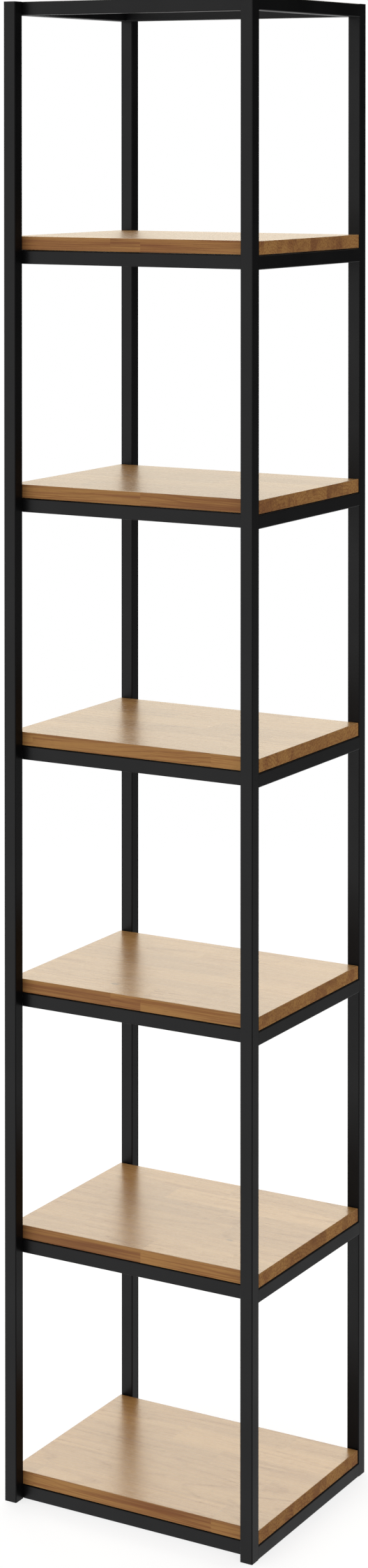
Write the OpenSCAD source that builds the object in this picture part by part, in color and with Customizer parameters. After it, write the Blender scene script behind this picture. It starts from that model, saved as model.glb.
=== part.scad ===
// Tall open bookcase: a welded frame of square steel tube with solid wood boards that lift off.
// The frame has one ring of four rails per level. Each board lies on a ring, between the front
// and the back uprights, on four pins that hold it in place; the top ring carries no board.
// X runs along the front, Y from front to back and Z up. The origin is on the floor, at the middle.

/* [Overall size] */
// Width over the frame
width = 420; // [300:5:800]
// Depth over the frame
depth = 356; // [240:2:600]
// Clear height from a board up to the rails above it
clear_height = 327; // [150:1:500]
// Number of boards, counted from the floor
boards = 6; // [1:1:6]

/* [Frame tube] */
// Outer size of the square tube
tube = 20; // [16:1:40]
// Wall of the tube
tube_wall = 1.5; // [1:0.25:3]
// Radius of the tube's outer corners
tube_radius = 1.5; // [0.5:0.25:3]
// Radius of the tube's inner corners
tube_inner_radius = 0.5; // [0.25:0.25:1.5]
// Thickness of the plates that close the uprights at the top
cap_thickness = 1.5; // [1:0.25:3]
// Length of the plugs in the lower ends of the uprights
plug_length = 15; // [8:1:30]

/* [Boards] */
// Thickness of a board
board_thickness = 20; // [16:1:40]
// Gap between a board's front edge and the front uprights
board_front_gap = 0.5; // [0.3:0.1:3]
// Gap between a board's back edge and the back uprights
board_back_gap = 2.5; // [0.3:0.1:5]
// How far a board's end stays inside the frame's outer face
board_end_inset = 0.3; // [0:0.1:5]
// Radius of a board's eased edges
board_edge_radius = 1.2; // [0.5:0.1:3]

/* [Board pins] */
// Thickness of a pin's collar, which is the gap under a board
pin_collar_thickness = 1; // [0.5:0.25:5]
// Diameter of a pin's collar
pin_collar_diameter = 12; // [8:0.5:12]
// Diameter of a pin's shank in the rail
pin_shank_diameter = 6; // [4:0.5:7]
// Length of a pin's shank below the rail's top face
pin_shank_length = 9; // [4:0.5:12]
// Diameter of a pin's stud in the board
pin_stud_diameter = 5; // [3:0.5:7]
// Length of a pin's stud above its collar
pin_stud_length = 8; // [4:0.5:10]
// Distance from the inner face of an upright to the nearest pin
pin_setback = 40; // [15:1:80]
// Radial clearance of the shank in the rail
pin_shank_clearance = 0.05; // [0.02:0.01:0.2]
// Radial clearance of the stud in the board
pin_stud_clearance = 0.3; // [0.3:0.05:1]
// Depth left above the stud in the board
pin_stud_end_gap = 1; // [0.5:0.1:3]

/* [Hidden] */
$fn = 48;
SIDES = ["left", "right"];
ENDS = ["front", "back"];
// One ring of rails below each board, and the open ring at the top
rings = boards + 1;
ring_pitch = clear_height + tube + pin_collar_thickness + board_thickness;
height = boards * ring_pitch + tube;
// Centre lines of the uprights
upright_x = width / 2 - tube / 2;
upright_y = depth / 2 - tube / 2;
// Clear span between the uprights, along the front and from front to back
span_x = width - 2 * tube;
span_y = depth - 2 * tube;
// Front and back rails stand behind the uprights, in line with the boards' edges
cross_rail_y = span_y / 2 - tube / 2;
board_length = width - 2 * board_end_inset;
board_depth = span_y - board_front_gap - board_back_gap;
board_y = (board_front_gap - board_back_gap) / 2;
pin_y = span_y / 2 - pin_setback;

// A little under the leg at which the weld would touch the upright's rounded corner
weld_leg = 0.97 * (2 - sqrt(2)) * tube_radius;

steel_colour = [0.17, 0.17, 0.18];
plastic_colour = [0.08, 0.08, 0.08];
wood_colour = [0.84, 0.74, 0.58];

// Height of the underside of ring k, where ring 1 lies on the floor
function ring_z(k) = (k - 1) * ring_pitch;
// Height of the underside of the board on ring k
function board_z(k) = ring_z(k) + tube + pin_collar_thickness;
// -1 for the left or the front, 1 for the right or the back
function side_sign(name) = name == "left" || name == "front" ? -1 : 1;

module rounded_rect(x, y, r) {
    square([x - 2 * r, y], center = true);
    square([x, y - 2 * r], center = true);
    for (sx = [-1, 1], sy = [-1, 1])
        translate([sx * (x / 2 - r), sy * (y / 2 - r)]) circle(r);
}

module tube_outline() rounded_rect(tube, tube, tube_radius);

module bore_outline() rounded_rect(tube - 2 * tube_wall, tube - 2 * tube_wall, tube_inner_radius);

module tube_section() {
    difference() {
        tube_outline();
        bore_outline();
    }
}

// Lays an upright outline down so that it is extruded along X, or along Y
module along_x() rotate([90, 0, 90]) children();
module along_y() rotate([90, 0, 0]) children();

module at_uprights() {
    for (sx = [-1, 1], sy = [-1, 1])
        translate([sx * upright_x, sy * upright_y, 0]) children();
}

module at_pins() {
    for (sx = [-1, 1], sy = [-1, 1])
        translate([sx * upright_x, sy * pin_y, 0]) children();
}

module upright(end, side) {
    color(steel_colour)
        translate([side_sign(side) * upright_x, side_sign(end) * upright_y, 0])
            linear_extrude(height - cap_thickness) tube_section();
}

module cross_rail(end, k) {
    color(steel_colour)
        translate([0, side_sign(end) * cross_rail_y, ring_z(k) + tube / 2])
            along_x() linear_extrude(span_x, center = true) tube_section();
}

// The weld that fills the groove beside an upright's rounded corner, ground flush with the rail.
// It is seen from above as a triangle whose long side just clears the corner.
module side_rail_welds(sx) {
    for (sy = [-1, 1])
        translate([sx * tube / 2, sy * span_y / 2, tube_radius])
            linear_extrude(tube - 2 * tube_radius)
                polygon([[0, 0], [0, sy * weld_leg], [-sx * weld_leg, 0]]);
}

module side_rail(side, k) {
    color(steel_colour)
        difference() {
            translate([side_sign(side) * upright_x, 0, ring_z(k)]) {
                translate([0, 0, tube / 2])
                    along_y() linear_extrude(span_y, center = true) tube_section();
                side_rail_welds(side_sign(side));
            }
            if (k <= boards) pin_holes(k);
        }
}

// Holes for the pins' shanks, through the upper walls of the side rails
module pin_holes(k) {
    translate([0, 0, ring_z(k) + tube - 2 * tube_wall])
        at_pins() cylinder(h = 3 * tube_wall, d = pin_shank_diameter + 2 * pin_shank_clearance);
}

module shelf_pins(k) {
    color(plastic_colour)
        translate([0, 0, ring_z(k) + tube])
            at_pins() {
                translate([0, 0, -pin_shank_length])
                    cylinder(h = pin_shank_length, d = pin_shank_diameter);
                cylinder(h = pin_collar_thickness, d = pin_collar_diameter);
                cylinder(h = pin_collar_thickness + pin_stud_length, d = pin_stud_diameter);
            }
}

// A block with all its edges rounded, standing on Z = 0
module eased_block(x, y, z, r) {
    intersection() {
        linear_extrude(z) rounded_rect(x, y, r);
        translate([0, 0, z / 2]) along_x() linear_extrude(x, center = true) rounded_rect(y, z, r);
        translate([0, 0, z / 2]) along_y() linear_extrude(y, center = true) rounded_rect(x, z, r);
    }
}

module shelf(k) {
    color(wood_colour)
        translate([0, 0, board_z(k)])
            difference() {
                translate([0, board_y, 0])
                    eased_block(board_length, board_depth, board_thickness, board_edge_radius);
                translate([0, 0, -1])
                    at_pins()
                        cylinder(
                            h = pin_stud_length + pin_stud_end_gap + 1,
                            d = pin_stud_diameter + 2 * pin_stud_clearance
                        );
            }
}

module top_caps() {
    color(steel_colour)
        translate([0, 0, height - cap_thickness])
            at_uprights() linear_extrude(cap_thickness) tube_outline();
}

module foot_plugs() {
    color(plastic_colour)
        at_uprights() linear_extrude(plug_length) bore_outline();
}

for (e = ENDS, s = SIDES)
    upright(e, s);
for (k = [1:rings])
    cross_rail("front", k);
for (k = [1:rings])
    cross_rail("back", k);
for (k = [1:rings])
    side_rail("left", k);
for (k = [1:rings])
    side_rail("right", k);
for (k = [1:boards])
    shelf(k);
for (k = [1:boards])
    shelf_pins(k);
top_caps();
foot_plugs();
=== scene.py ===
"""Looks of the tall open bookcase: black powder-coated steel, edge-glued oak and soft studio light."""

import math

import bmesh
import bpy
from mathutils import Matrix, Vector


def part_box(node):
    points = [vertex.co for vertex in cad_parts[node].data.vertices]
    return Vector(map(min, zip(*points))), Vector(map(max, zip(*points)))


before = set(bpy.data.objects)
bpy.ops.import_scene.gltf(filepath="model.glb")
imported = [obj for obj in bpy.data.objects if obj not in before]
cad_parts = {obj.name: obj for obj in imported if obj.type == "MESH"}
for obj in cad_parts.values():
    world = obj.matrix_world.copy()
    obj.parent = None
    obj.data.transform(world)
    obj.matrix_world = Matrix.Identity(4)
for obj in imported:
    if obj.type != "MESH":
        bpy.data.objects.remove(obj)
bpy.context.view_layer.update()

# Camera, in metres and degrees. The front faces -Y.
CAMERA_PLACE = (2.318, -4.026, 2.037)
CAMERA_TURN = 29.98
CAMERA_PITCH = 0.905
CAMERA_LENS = 71.42
SENSOR_WIDTH = 36.0
CAMERA_SHIFT_Y = -0.3852

# Boards. Each is glued from staves that run from side to side.
BOARD_NODES = ["shelf_%d" % number for number in range(1, 7)]
STAVES = 6
GLUE_LINE = 0.0004
RING_SPACING = 0.0055

# Where the staves of a board are cut, as (stave counted from the front, X).
CUTS_ONE = [(0, -0.038), (0, 0.013), (1, 0.120), (2, -0.090), (3, 0.060), (4, -0.020), (5, 0.095)]
CUTS_TWO = [(0, 0.013), (1, -0.120), (2, 0.085), (3, 0.046), (4, -0.070), (5, 0.010)]
CUTS_THREE = [(0, -0.173), (0, 0.131), (1, -0.060), (2, 0.150), (3, 0.035), (4, -0.057), (5, 0.110)]
CUTS_OF = {1: CUTS_THREE, 2: CUTS_TWO, 3: CUTS_ONE, 4: CUTS_THREE, 5: CUTS_TWO, 6: CUTS_ONE}

# The knots of a board, as (X, Y, radius).
KNOTS_OF = {2: [(0.107, -0.059, 0.003)], 3: [(-0.057, -0.113, 0.004)], 5: [(-0.120, 0.030, 0.003)]}

# Oak, as linear colours. A bump is its depth in metres and its strength.
OAK_PALE = (0.345, 0.190, 0.066, 1.0)
OAK_WARM = (0.265, 0.132, 0.038, 1.0)
OAK_LATEWOOD = (0.66, 0.49, 0.34, 1.0)
OAK_EDGE_TINT = (1.08, 0.97, 0.62, 1.0)
OAK_ROUGHNESS = 0.26
OAK_EDGE_ROUGHNESS = 0.80
OAK_SPECULAR = 0.50
OAK_BUMP = (0.00006, 0.6)

# Streaks in the oak, as (scale along the grain, scale across it, detail), and their roughness.
BROAD_STREAKS = (2.5, 28.0, 2.0)
RING_PATCHES = (6.0, 40.0, 1.0)
FINE_FIBRE = (5.0, 420.0, 2.5)
PORE_DASHES = (75.0, 1500.0, 1.0)
STREAK_ROUGHNESS = 0.6

# Marks in the oak: a linear colour, and how much of it shows.
PORE_COLOR = (0.13, 0.07, 0.03, 1.0)
PORE_SHARE = 0.42
GLUE_COLOR = (0.12, 0.06, 0.025, 1.0)
GLUE_SHARE = 0.35
KNOT_COLOR = (0.09, 0.04, 0.015, 1.0)
KNOT_SHARE = 0.75

# Powder coat and moulded plastic, as linear colours.
STEEL_DARK = (0.0026, 0.0026, 0.0028, 1.0)
STEEL_PALE = (0.0042, 0.0042, 0.0044, 1.0)
STEEL_ROUGHNESS = (0.30, 0.38)
STEEL_SPECULAR = 0.12
STEEL_BUMP = (0.00008, 0.5)
PLASTIC_DARK = (0.0065, 0.0065, 0.0068, 1.0)
PLASTIC_PALE = (0.0100, 0.0100, 0.0104, 1.0)
PLASTIC_ROUGHNESS = (0.48, 0.60)
PLASTIC_SPECULAR = 0.4
PLASTIC_BUMP = (0.00006, 0.6)

# Studio. Directions point out from the object, and lights are radiances. A HEIGHT, FOOT or TOP is a
# pair of upward parts of a direction, and a SPREAD is a pair of cosines from the middle of a light.
# The light changes between the two.
WHITE = (1.0, 1.0, 1.0, 1.0)
FILL_LIGHT = 0.75
OVERHEAD_LIGHT = 1.25
OVERHEAD_HEIGHT = (0.30, 0.80)

# The soft box at the front left.
FRONT_BOX_AT = (-0.50, -0.86, -0.10)
FRONT_BOX_LIGHT = 1.65
FRONT_BOX_SPREAD = (0.72, 0.97)

# The tall warm box at the back left, which brightens with height.
BACK_BOX_SIDE = (-0.50, 0.866, 0.0)
BACK_BOX_FOOT = (-0.12, 0.0)
BACK_BOX_TOP = (0.62, 0.85)
BACK_BOX_HEIGHT = (0.02, 0.62)
BACK_BOX_LIGHT = (0.0, 5.6)
BACK_BOX_SPREAD = (0.80, 0.95)
BACK_BOX_COLOR = (1.0, 0.965, 0.84, 1.0)

# The dark side at the back right, and the light off the floor that comes up into it.
DARK_SIDE = (0.50, 0.866, 0.0)
DARK_SPREAD = (0.50, 0.86)
DARK_LEVEL = 0.03
BOUNCE_LIGHT = 1.12
BOUNCE_DEPTH = 0.62

# The floor, which fades out between two radii.
FLOOR_RADIUS = 6.0
FLOOR_OPAQUE_TO = 1.2
FLOOR_GONE_AT = 4.5
FLOOR_SEGMENTS = 96
FLOOR_COLOR = (0.24, 0.24, 0.24, 1.0)
FLOOR_MOTTLE = 0.02
FLOOR_GLOW = 0.74


class Nodes:
    """Adds nodes to one tree. An input is a number, a tuple or another node's socket."""

    def __init__(self, tree):
        self.tree = tree
        tree.nodes.clear()

    def put(self, socket, value):
        """Links a socket, or sets the input's own value."""
        if isinstance(value, bpy.types.NodeSocket):
            self.tree.links.new(value, socket)
        else:
            socket.default_value = value

    def add(self, kind, inputs, **settings):
        """One node, with its settings made before its inputs are filled."""
        node = self.tree.nodes.new(kind)
        for name, value in settings.items():
            setattr(node, name, value)
        for key, value in inputs.items():
            self.put(node.inputs[key], value)
        return node

    def math(self, operation, a, b=0.0, c=0.0):
        node = self.add("ShaderNodeMath", {0: a, 1: b, 2: c}, operation=operation)
        return node.outputs[0]

    def vector(self, x, y, z):
        node = self.add("ShaderNodeCombineXYZ", {0: x, 1: y, 2: z})
        return node.outputs[0]

    def split(self, vector):
        node = self.add("ShaderNodeSeparateXYZ", {0: vector})
        return node.outputs[0], node.outputs[1], node.outputs[2]

    def span(self, value, low, high, to_low=0.0, to_high=1.0):
        """value from low to high, eased, becomes to_low to to_high."""
        inputs = {0: value, 1: low, 2: high, 3: to_low, 4: to_high}
        node = self.add("ShaderNodeMapRange", inputs, interpolation_type="SMOOTHSTEP")
        return node.outputs[0]

    def mix(self, factor, a, b, blend="MIX"):
        node = self.add("ShaderNodeMix", {0: factor, 6: a, 7: b}, data_type="RGBA", blend_type=blend)
        return node.outputs[2]

    def noise(self, vector, scale=1.0, detail=2.0, roughness=0.5):
        inputs = {"Vector": vector, "Scale": scale, "Detail": detail, "Roughness": roughness}
        return self.add("ShaderNodeTexNoise", inputs).outputs[0]

    def bump(self, height, distance, strength):
        inputs = {"Height": height, "Distance": distance, "Strength": strength}
        return self.add("ShaderNodeBump", inputs).outputs[0]

    def dot(self, a, b):
        node = self.add("ShaderNodeVectorMath", {0: a, 1: b}, operation="DOT_PRODUCT")
        return node.outputs["Value"]

    def object_place(self):
        return self.add("ShaderNodeTexCoord", {}).outputs["Object"]


def new_material(name):
    """An empty node material and its node adder."""
    material = bpy.data.materials.new(name)
    material.use_nodes = True
    return material, Nodes(material.node_tree)


def close_material(nodes, shader):
    nodes.add("ShaderNodeOutputMaterial", {"Surface": shader.outputs[0]})


def powder_coat():
    """Satin black powder coat: a fine orange peel, with gloss and tone that wander a little."""
    material, nodes = new_material("powder_coat")
    place = nodes.object_place()
    cloud = nodes.noise(place, 14.0, 3.0)
    speck = nodes.noise(place, 1400.0, 2.0)
    peel = nodes.noise(place, 620.0, 2.0)
    tone = nodes.mix(nodes.math("MULTIPLY", speck, cloud), STEEL_DARK, STEEL_PALE)
    gloss = nodes.span(cloud, 0.3, 0.7, *STEEL_ROUGHNESS)
    inputs = {
        "Base Color": tone,
        "Roughness": gloss,
        "Specular IOR Level": STEEL_SPECULAR,
        "Normal": nodes.bump(peel, *STEEL_BUMP),
    }
    close_material(nodes, nodes.add("ShaderNodeBsdfPrincipled", inputs))
    return material


def black_plastic():
    """Moulded black plastic with a fine spark-eroded texture."""
    material, nodes = new_material("black_plastic")
    place = nodes.object_place()
    grain = nodes.noise(place, 2200.0, 3.0, 0.7)
    cloud = nodes.noise(place, 60.0, 2.0)
    inputs = {
        "Base Color": nodes.mix(grain, PLASTIC_DARK, PLASTIC_PALE),
        "Roughness": nodes.span(cloud, 0.3, 0.7, *PLASTIC_ROUGHNESS),
        "Specular IOR Level": PLASTIC_SPECULAR,
        "Normal": nodes.bump(grain, *PLASTIC_BUMP),
    }
    close_material(nodes, nodes.add("ShaderNodeBsdfPrincipled", inputs))
    return material


def length_number(nodes, x, stave, cuts):
    """A number that differs for each length of wood: its stave, and the cuts to its left."""
    number = nodes.math("MULTIPLY", stave, 10.0)
    for cut_stave, cut_x in cuts:
        here = nodes.math("COMPARE", stave, float(cut_stave), 0.5)
        past = nodes.math("GREATER_THAN", x, cut_x)
        number = nodes.math("MULTIPLY_ADD", here, past, number)
    return number


def glue_lines(nodes, x, stave_place, stave, stave_width, cuts):
    """1 on a glue line, between staves or where one is cut, and 0 elsewhere."""
    off_middle = nodes.math("SUBTRACT", nodes.math("FRACT", stave_place), 0.5)
    from_middle = nodes.math("ABSOLUTE", off_middle)
    line = nodes.math("GREATER_THAN", from_middle, 0.5 - GLUE_LINE / stave_width)
    for cut_stave, cut_x in cuts:
        here = nodes.math("COMPARE", stave, float(cut_stave), 0.5)
        near = nodes.math("COMPARE", x, cut_x, GLUE_LINE)
        line = nodes.math("MAXIMUM", line, nodes.math("MULTIPLY", here, near))
    return line


def distance(nodes, a, b):
    """The length of the two sides taken together."""
    square = nodes.math("MULTIPLY", a, a)
    square = nodes.math("ADD", square, nodes.math("MULTIPLY", b, b))
    return nodes.math("SQRT", square)


def knot_mask(nodes, x, y, knots):
    """1 at the heart of a knot, eased to 0 past its edge."""
    mask = 0.0
    for knot_x, knot_y, radius in knots:
        along = nodes.math("MULTIPLY", nodes.math("SUBTRACT", x, knot_x), 0.6)
        across = nodes.math("SUBTRACT", y, knot_y)
        spot = nodes.span(distance(nodes, along, across), radius * 0.5, radius * 1.6, 1.0, 0.0)
        mask = nodes.math("MAXIMUM", mask, spot)
    return mask


def growth_rings(nodes, x, y, z, shift, shares):
    """Growth rings of one length of wood, from 0 in earlywood to 1 in latewood."""
    share_a, share_b, share_c = shares
    bent_x = nodes.math("MULTIPLY_ADD", x, 3.0, shift)
    bent = nodes.vector(bent_x, nodes.math("MULTIPLY", y, 8.0), nodes.math("MULTIPLY", z, 8.0))
    wander = nodes.math("MULTIPLY_ADD", nodes.noise(bent, 1.0, 3.0, 0.40), 0.020, -0.010)
    slope = nodes.math("SUBTRACT", share_c, 0.5)
    lean = nodes.math("MULTIPLY", slope, nodes.math("MULTIPLY", x, 0.09))
    across = nodes.math("ADD", y, nodes.math("MULTIPLY_ADD", share_a, 0.06, -0.03))
    deep = nodes.math("ADD", z, nodes.math("MULTIPLY_ADD", share_b, 0.07, 0.012))
    radius = nodes.math("ADD", distance(nodes, across, deep), lean)
    radius = nodes.math("ADD", radius, wander)
    ring = nodes.math("FRACT", nodes.math("DIVIDE", radius, RING_SPACING))
    rise = nodes.span(ring, 0.66, 0.93)
    fall = nodes.span(ring, 0.93, 1.0, 1.0, 0.0)
    return nodes.math("MULTIPLY", rise, fall)


def streaks(nodes, x, y, z, shift, along, across, detail):
    """Noise drawn out along the grain."""
    drawn_x = nodes.math("MULTIPLY_ADD", x, along, shift)
    drawn = nodes.vector(drawn_x, nodes.math("MULTIPLY", y, across), nodes.math("MULTIPLY", z, across))
    return nodes.noise(drawn, 1.0, detail, STREAK_ROUGHNESS)


def darker(nodes, color):
    """The latewood of a colour of wood."""
    return nodes.mix(1.0, color, OAK_LATEWOOD, "MULTIPLY")


def oak(number, low, high):
    """Oak of one board, whose corners are low and high."""
    material, nodes = new_material("oak_%d" % number)
    cuts = CUTS_OF[number]
    stave_width = (high.y - low.y) / STAVES
    x, y, z_here = nodes.split(nodes.object_place())
    z = nodes.math("SUBTRACT", z_here, low.z)
    stave_place = nodes.math("DIVIDE", nodes.math("SUBTRACT", y, low.y), stave_width)
    stave = nodes.math("FLOOR", stave_place)
    off_middle = nodes.math("SUBTRACT", nodes.math("FRACT", stave_place), 0.5)
    stave_y = nodes.math("MULTIPLY", off_middle, stave_width)
    length = nodes.math("ADD", length_number(nodes, x, stave, cuts), 71.0 * number)
    random = nodes.add("ShaderNodeTexWhiteNoise", {"W": length}, noise_dimensions="1D")
    shares = nodes.split(random.outputs["Color"])
    shift = nodes.math("MULTIPLY", random.outputs["Value"], 40.0)

    facing = nodes.split(nodes.add("ShaderNodeNewGeometry", {}).outputs["True Normal"])[2]
    edge = nodes.span(nodes.math("ABSOLUTE", facing), 0.3, 0.9, 1.0, 0.0)
    rings = growth_rings(nodes, x, stave_y, z, shift, shares)
    broad = streaks(nodes, x, y, z, shift, *BROAD_STREAKS)
    patch = streaks(nodes, x, y, z, shift, *RING_PATCHES)
    fine = streaks(nodes, x, y, z, shift, *FINE_FIBRE)
    dashes = nodes.span(streaks(nodes, x, y, z, shift, *PORE_DASHES), 0.55, 0.68)
    pores = nodes.math("MULTIPLY", dashes, nodes.math("MULTIPLY_ADD", rings, 0.5, 0.5))

    # Tone: each length of wood has its own, and broad streaks vary it.
    tone = nodes.math("MULTIPLY_ADD", broad, 1.2, -0.55)
    tone = nodes.math("MULTIPLY_ADD", shares[1], 0.90, tone)
    color = nodes.mix(tone, OAK_PALE, OAK_WARM)
    late = darker(nodes, color)

    # Rings show mostly in patches. They are stronger on an edge, as the fibre is.
    shown = nodes.math("MULTIPLY", rings, nodes.span(patch, 0.38, 0.64, 0.08, 0.60))
    shown = nodes.math("MULTIPLY", shown, nodes.math("MULTIPLY_ADD", edge, 1.1, 1.0))
    color = nodes.mix(shown, color, late)
    fibre = nodes.span(fine, 0.37, 0.55, 1.0, 0.0)
    fibre = nodes.math("MULTIPLY", fibre, nodes.math("MULTIPLY_ADD", edge, 0.45, 0.55))
    color = nodes.mix(fibre, color, late)

    # Pores, glue lines and knots are darker marks over that.
    color = nodes.mix(nodes.math("MULTIPLY", pores, PORE_SHARE), color, PORE_COLOR)
    lines = glue_lines(nodes, x, stave_place, stave, stave_width, cuts)
    color = nodes.mix(nodes.math("MULTIPLY", lines, GLUE_SHARE), color, GLUE_COLOR)
    knots = knot_mask(nodes, x, y, KNOTS_OF.get(number, []))
    color = nodes.mix(nodes.math("MULTIPLY", knots, KNOT_SHARE), color, KNOT_COLOR)

    # An edge is darker in broad patches, and warmer than a face.
    shade = nodes.math("MULTIPLY", edge, nodes.span(broad, 0.46, 0.72, 0.0, 0.75))
    color = nodes.mix(shade, color, darker(nodes, color))
    color = nodes.mix(edge, color, nodes.mix(1.0, color, OAK_EDGE_TINT, "MULTIPLY"))

    height = nodes.math("SUBTRACT", nodes.math("MULTIPLY", fine, 0.5), pores)
    gloss = nodes.math("MULTIPLY_ADD", edge, OAK_EDGE_ROUGHNESS - OAK_ROUGHNESS, OAK_ROUGHNESS)
    dull = nodes.math("MULTIPLY", fibre, nodes.span(patch, 0.40, 0.62, 0.01, 0.07))
    gloss = nodes.math("MULTIPLY_ADD", pores, 0.10, nodes.math("ADD", dull, gloss))
    inputs = {
        "Base Color": color,
        "Roughness": gloss,
        "Specular IOR Level": OAK_SPECULAR,
        "Normal": nodes.bump(height, *OAK_BUMP),
    }
    close_material(nodes, nodes.add("ShaderNodeBsdfPrincipled", inputs))
    return material


def give(node, material):
    """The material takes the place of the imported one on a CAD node."""
    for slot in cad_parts[node].material_slots:
        slot.material = material


def dress():
    """Every CAD node keeps its shape and gets its finish."""
    steel = powder_coat()
    plastic = black_plastic()
    for name in sorted(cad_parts):
        if name in BOARD_NODES:
            give(name, oak(int(name.rsplit("_", 1)[1]), *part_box(name)))
        elif name.startswith("shelf_pins") or name == "foot_plugs":
            give(name, plastic)
        else:
            give(name, steel)


def floor_material():
    """Pale floor that fades out, so that no horizon shows."""
    material, nodes = new_material("studio_floor")
    place = nodes.object_place()
    far = nodes.add("ShaderNodeVectorMath", {0: place}, operation="LENGTH").outputs["Value"]
    gone = nodes.span(far, FLOOR_OPAQUE_TO, FLOOR_GONE_AT)
    mottle = nodes.noise(place, 3.0, 2.0)
    tone = nodes.mix(nodes.math("MULTIPLY", mottle, FLOOR_MOTTLE), FLOOR_COLOR, WHITE)
    diffuse = nodes.add("ShaderNodeBsdfDiffuse", {"Color": tone})
    glow = nodes.add("ShaderNodeEmission", {"Color": WHITE, "Strength": FLOOR_GLOW})
    paper = nodes.add("ShaderNodeAddShader", {0: diffuse.outputs[0], 1: glow.outputs[0]})
    clear = nodes.add("ShaderNodeBsdfTransparent", {})
    shader = nodes.add("ShaderNodeMixShader", {0: gone, 1: paper.outputs[0], 2: clear.outputs[0]})
    close_material(nodes, shader)
    return material


def make_floor():
    mesh = bpy.data.meshes.new("studio_floor")
    disc = bmesh.new()
    bmesh.ops.create_circle(disc, cap_ends=True, segments=FLOOR_SEGMENTS, radius=FLOOR_RADIUS)
    disc.to_mesh(mesh)
    disc.free()
    mesh.materials.append(floor_material())
    floor = bpy.data.objects.new("studio_floor", mesh)
    bpy.context.scene.collection.objects.link(floor)
    floor.visible_diffuse = False
    floor.visible_glossy = False
    floor.visible_shadow = False


def soft_box(nodes, direction, at, spread, strength):
    """The strength at the middle of a soft light round one direction, eased to 0 at its rim."""
    near = nodes.dot(direction, Vector(at).normalized())
    return nodes.span(near, *spread, 0.0, strength)


def back_window(nodes, direction, up):
    """1 in the compass directions of the back box, at any height, and 0 away from them."""
    toward = nodes.dot(direction, BACK_BOX_SIDE)
    square = nodes.math("MULTIPLY_ADD", nodes.math("MULTIPLY", up, -1.0), up, 1.0)
    level = nodes.math("SQRT", nodes.math("MAXIMUM", square, 0.0001))
    return nodes.span(nodes.math("DIVIDE", toward, level), *BACK_BOX_SPREAD)


def surround(nodes, direction, up):
    """The radiance all round, apart from the back box."""
    down = nodes.math("MULTIPLY", up, -1.0)
    dark = soft_box(nodes, direction, DARK_SIDE, DARK_SPREAD, 1.0)
    bounce = nodes.span(down, 0.0, BOUNCE_DEPTH, DARK_LEVEL, BOUNCE_LIGHT)
    front_box = soft_box(nodes, direction, FRONT_BOX_AT, FRONT_BOX_SPREAD, FRONT_BOX_LIGHT)
    around = nodes.math("ADD", FILL_LIGHT, front_box)
    around = nodes.math("MULTIPLY_ADD", nodes.math("SUBTRACT", bounce, around), dark, around)
    to_overhead = nodes.math("SUBTRACT", OVERHEAD_LIGHT, around)
    return nodes.math("MULTIPLY_ADD", to_overhead, nodes.span(up, *OVERHEAD_HEIGHT), around)


def back_box(nodes, direction, up):
    """How much of the back box lies in a direction, and its radiance there."""
    below_top = nodes.span(up, *BACK_BOX_TOP, 1.0, 0.0)
    share = nodes.math("MULTIPLY", back_window(nodes, direction, up), below_top)
    share = nodes.math("MULTIPLY", share, nodes.span(up, *BACK_BOX_FOOT))
    low, high = BACK_BOX_HEIGHT
    dim, bright = BACK_BOX_LIGHT
    rise = nodes.add("ShaderNodeMapRange", {0: up, 1: low, 2: high, 3: dim, 4: bright})
    return share, rise.outputs[0]


def make_light():
    """Light from all round. The camera itself sees plain white beyond the floor."""
    world = bpy.data.worlds.new("studio")
    bpy.context.scene.world = world
    world.use_nodes = True
    nodes = Nodes(world.node_tree)
    direction = nodes.add("ShaderNodeTexCoord", {}).outputs["Generated"]
    up = nodes.split(direction)[2]
    in_box, box_light = back_box(nodes, direction, up)
    strength = surround(nodes, direction, up)
    soft = nodes.add("ShaderNodeBackground", {"Color": WHITE, "Strength": strength})
    warm = nodes.add("ShaderNodeBackground", {"Color": BACK_BOX_COLOR, "Strength": box_light})
    light = nodes.add("ShaderNodeMixShader", {0: in_box, 1: soft.outputs[0], 2: warm.outputs[0]})
    white = nodes.add("ShaderNodeBackground", {"Color": WHITE, "Strength": 1.0})
    seen = nodes.add("ShaderNodeLightPath", {}).outputs["Is Camera Ray"]
    both = nodes.add("ShaderNodeMixShader", {0: seen, 1: light.outputs[0], 2: white.outputs[0]})
    nodes.add("ShaderNodeOutputWorld", {"Surface": both.outputs[0]})


def make_camera():
    data = bpy.data.cameras.new("camera")
    data.lens = CAMERA_LENS
    data.sensor_width = SENSOR_WIDTH
    data.shift_y = CAMERA_SHIFT_Y
    camera = bpy.data.objects.new("camera", data)
    camera.location = CAMERA_PLACE
    camera.rotation_euler = (math.radians(90.0 - CAMERA_PITCH), 0.0, math.radians(CAMERA_TURN))
    bpy.context.scene.collection.objects.link(camera)
    bpy.context.scene.camera = camera


dress()
make_floor()
make_light()
make_camera()
bpy.context.scene.view_settings.view_transform = "Standard"
